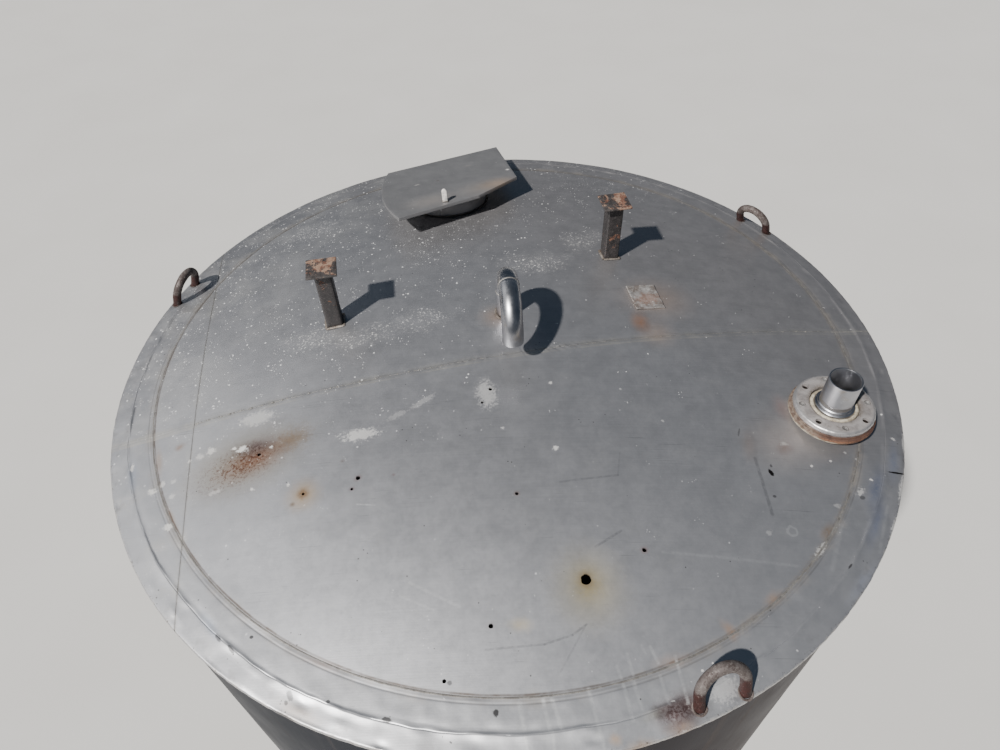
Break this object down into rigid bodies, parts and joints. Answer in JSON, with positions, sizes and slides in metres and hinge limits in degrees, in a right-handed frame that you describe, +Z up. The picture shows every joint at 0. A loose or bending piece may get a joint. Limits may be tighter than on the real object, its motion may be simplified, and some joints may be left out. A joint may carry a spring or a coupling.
{
  "type": "vertical storage tank",
  "caption": "Upright round storage tank with a shallow domed roof, turned-down roof lip, top nozzle, gooseneck vent, lifting lugs and hatch.",
  "frame": {"origin": "middle of the foot ring's underside, on the floor", "axes": "+Z up the tank's axis, -Y towards the side the picture is taken from, +X to its right"},
  "size_m": [2.43, 2.43, 5.2792],
  "materials": {
    "wall_sheet": "rolled stainless sheet, dull and streaked",
    "foot_bar": "weathered red-brown paint over flat bar",
    "floor_plate": "plain plate",
    "roof_edge_sheet": "weathered stainless sheet, scratched, stained at the seams",
    "crown_sheet": "weathered stainless sheet with rust spots, droppings and scratches",
    "nozzle_pipe": "dull pipe",
    "rusty_flange": "rusted edge",
    "loose_flange": "pale worn steel",
    "vent_pipe": "bright drawn pipe",
    "lug_bar": "grey-brown bar, red-brown at the feet",
    "hatch_sheet": "dull folded sheet",
    "hatch_tab": "pale worn paint",
    "post_paint": "matt black paint",
    "pad_sheet": "bent plate, rust stained"
  },
  "bodies": {
    "root": {"base_ring_1": "foot_bar", "base_ring_2": "foot_bar", "base_ring_3": "foot_bar", "bottom_plate": "floor_plate", "shell_1_a": "wall_sheet", "shell_1_b": "wall_sheet", "shell_1_c": "wall_sheet", "shell_2_a": "wall_sheet", "shell_2_b": "wall_sheet", "shell_2_c": "wall_sheet", "shell_3_a": "wall_sheet", "shell_3_b": "wall_sheet", "shell_3_c": "wall_sheet", "shell_4_a": "wall_sheet", "shell_4_b": "wall_sheet", "shell_4_c": "wall_sheet", "roof_edge_front": "roof_edge_sheet", "roof_edge_left": "roof_edge_sheet", "roof_edge_rear": "roof_edge_sheet", "crown_front": "crown_sheet", "crown_rear": "crown_sheet", "crown_left": "crown_sheet", "nozzle_neck": "nozzle_pipe", "nozzle_lower_flange": "rusty_flange", "nozzle_stub": "nozzle_pipe", "nozzle_loose_flange": "loose_flange", "vent_riser": "vent_pipe", "vent_elbow_rear": "vent_pipe", "vent_elbow_front": "vent_pipe", "lug_front": "lug_bar", "lug_rear_right": "lug_bar", "lug_rear_left": "lug_bar", "hatch_curb": "hatch_sheet", "hatch_cover": "hatch_sheet", "hatch_tab": "hatch_tab", "post_left": "post_paint", "post_right": "post_paint", "post_left_saddle": "post_paint", "post_right_saddle": "post_paint", "pad_plate": "pad_sheet"}
  },
  "joints": []
}
